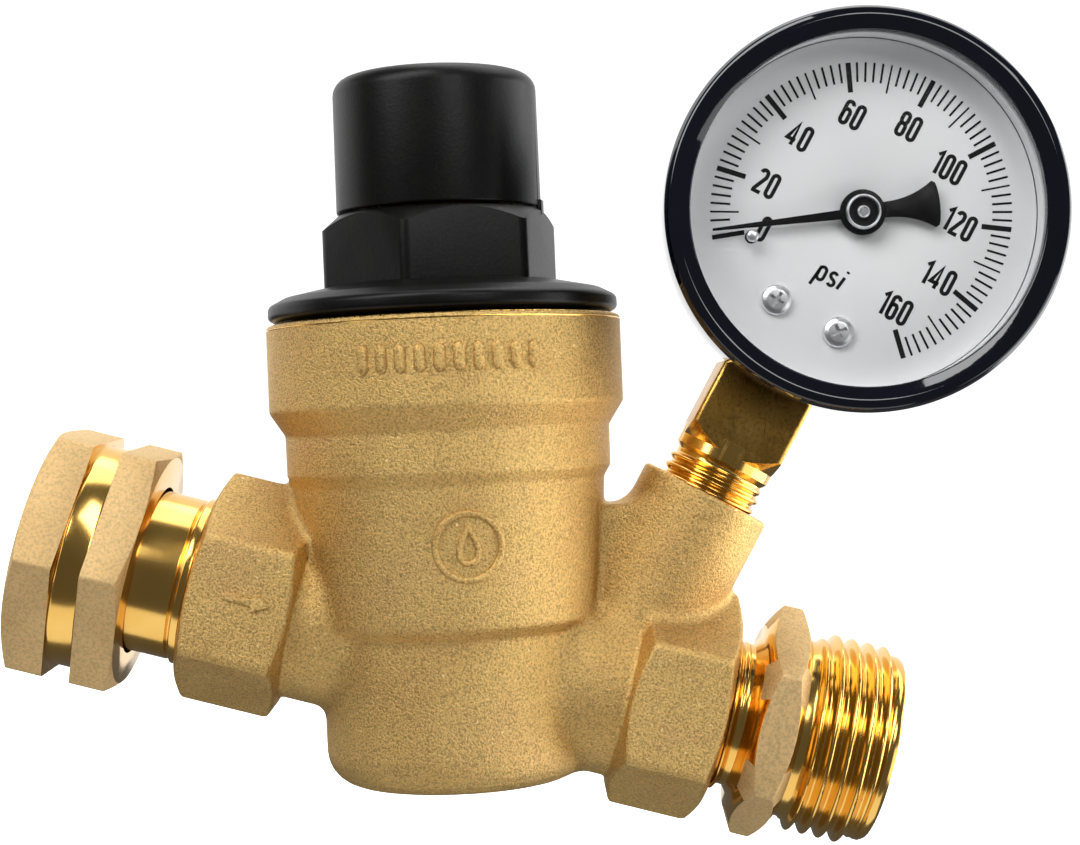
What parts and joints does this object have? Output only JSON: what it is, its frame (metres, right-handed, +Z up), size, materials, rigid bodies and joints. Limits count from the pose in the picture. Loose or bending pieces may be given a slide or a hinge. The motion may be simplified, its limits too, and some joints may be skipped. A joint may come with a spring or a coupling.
{
  "type": "water pressure regulator",
  "caption": "Brass piston-type water pressure regulator with hose-thread swivel inlet, hose-thread outlet, adjustable spring bonnet and dial pressure gauge.",
  "frame": {"origin": "on the pipe axis, at the sealing face of the inlet hose washer", "axes": "+X along the pipe in the direction of flow, +Z up towards the bonnet and gauge, the dial faces -Y"},
  "size_m": [0.1207, 0.0472, 0.1144],
  "materials": {
    "cast_brass": "shot-blasted casting, fine grain, satin",
    "turned_brass": "bright turned brass",
    "tumbled_brass": "matte tumbled brass",
    "bronze": "drawn phosphor bronze",
    "steel": "bright spring and stainless steel",
    "chrome_screw": "bright plated",
    "black_plastic": "moulded satin plastic",
    "black_enamel": "gloss black enamel",
    "pointer_black": "satin black paint",
    "white_enamel": "satin white printed dial",
    "clear_lens": "clear polycarbonate",
    "rubber": "moulded rubber",
    "white_rubber": "moulded white rubber",
    "polished_steel": "bright polished stainless steel"
  },
  "bodies": {
    "root": {"regulator_body": "cast_brass", "flow_arrow": "cast_brass", "inlet_hose_washer": "rubber", "inlet_strainer": "steel", "inlet_tailpiece": "turned_brass", "outlet_adapter": "turned_brass", "seat_cartridge": "turned_brass", "cartridge_oring": "rubber", "range_spring": "steel", "bonnet": "black_plastic", "screw_bush": "turned_brass", "gauge_socket": "turned_brass", "gauge_case": "polished_steel", "gauge_bezel": "black_enamel", "gauge_lens": "clear_lens", "lens_gasket": "white_rubber", "dial_plate": "white_enamel", "pointer_stop_pin": "steel", "dial_screw_1": "chrome_screw", "dial_screw_2": "chrome_screw", "movement_back_plate": "turned_brass", "movement_front_plate": "turned_brass", "movement_pillar_1": "turned_brass", "movement_pillar_2": "turned_brass", "screw_spacer_1": "turned_brass", "screw_spacer_2": "turned_brass", "bourdon_tube": "bronze", "hairspring": "bronze"},
    "inlet_nut": {"inlet_swivel_nut": "tumbled_brass"},
    "cap": {"adjustment_cap": "black_plastic"},
    "spring_plate": {"spring_seat": "steel"},
    "set_screw": {"adjusting_screw": "turned_brass"},
    "piston_valve": {"valve_stem": "steel", "valve_seal": "rubber", "valve_disc": "turned_brass", "valve_nut": "steel", "piston": "turned_brass", "piston_oring": "rubber", "piston_nut": "steel"},
    "sector": {"sector_gear": "turned_brass"},
    "pointer": {"pinion_arbor": "steel", "pointer": "pointer_black", "pointer_hub": "chrome_screw"},
    "tip_link": {"connecting_link": "turned_brass", "bourdon_tip": "turned_brass"}
  },
  "joints": [
    {"name": "inlet_nut_turn", "type": "hinge", "parent": "root", "child": "inlet_nut", "pos_m": [-0.004, 0, 0], "axis": [1, 0, 0], "continuous": true},
    {"name": "cap_lift", "type": "slide", "parent": "root", "child": "cap", "axis": [-0.2773, 0, 0.9608], "range_m": [0, 0.025]},
    {"name": "spring_plate_travel", "type": "slide", "parent": "root", "child": "spring_plate", "axis": [-0.2773, 0, 0.9608], "range_m": [0, 0.00375]},
    {"name": "set_screw_turn", "type": "hinge", "parent": "spring_plate", "child": "set_screw", "pos_m": [0.03326, 0, 0.05765], "axis": [-0.2773, 0, 0.9608], "range_deg": [0, 1080]},
    {"name": "piston_travel", "type": "slide", "parent": "root", "child": "piston_valve", "axis": [-0.2773, 0, 0.9608], "range_m": [0, 0.002], "stiffness_N_per_m": 8000, "deforming": ["range_spring"]},
    {"name": "sector_swing", "type": "hinge", "parent": "root", "child": "sector", "pos_m": [0.08639, -0.0055, 0.05794], "axis": [0, -1, 0], "range_deg": [0, 32.4], "stiffness_Nm_per_rad": 0.02},
    {"name": "pointer_turn", "type": "hinge", "parent": "root", "child": "pointer", "pos_m": [0.0875, -0.0055, 0.06778], "axis": [0, 1, 0], "range_deg": [0, 259.2], "deforming": ["hairspring"]},
    {"name": "tip_travel", "type": "slide", "parent": "root", "child": "tip_link", "axis": [-0.3057, 0, -0.9521], "range_m": [0, 0.00279], "deforming": ["bourdon_tube"]}
  ],
  "couplings": [
    {"joint": "spring_plate_travel", "follows": "set_screw_turn", "m_per_rad": 0.00019894},
    {"joint": "pointer_turn", "follows": "sector_swing", "ratio": 8},
    {"joint": "tip_travel", "follows": "sector_swing", "m_per_rad": 0.0049336}
  ]
}
